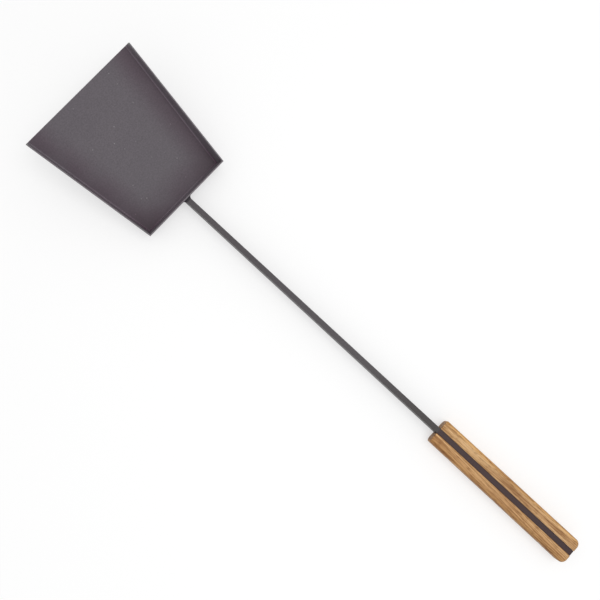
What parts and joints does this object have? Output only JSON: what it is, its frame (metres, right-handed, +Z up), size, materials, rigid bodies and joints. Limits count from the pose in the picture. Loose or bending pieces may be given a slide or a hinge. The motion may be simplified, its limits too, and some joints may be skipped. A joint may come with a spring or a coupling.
{
  "type": "fireplace shovel",
  "caption": "Fireplace shovel with a flared, folded steel pan, a long flat-bar shaft set on edge, and oak handle scales either side of the bar.",
  "frame": {"origin": "middle of the bounding box in plan, on the flat surface that the shovel lies on", "axes": "+X square to the shovel's plane of symmetry, to the right of someone who looks from the pan's mouth towards the handle with the open top up; +Y along the bar from the pan towards the end of the handle; +Z up, out of the open top of the pan"},
  "size_m": [0.1536, 0.7042, 0.0633],
  "materials": {
    "coated_steel": "matt charcoal powder coat over sheet and bar steel",
    "oak": "oiled oak, straight grain along the handle",
    "pin_steel": "plain steel pins, filed level with the wood"
  },
  "bodies": {
    "root": {"pan": "coated_steel", "corner_weld_right": "coated_steel", "corner_weld_left": "coated_steel", "bar": "coated_steel", "bar_weld_right": "coated_steel", "bar_weld_left": "coated_steel", "scale_right": "oak", "scale_left": "oak", "pin_front": "pin_steel", "pin_middle": "pin_steel", "pin_rear": "pin_steel"}
  },
  "joints": []
}
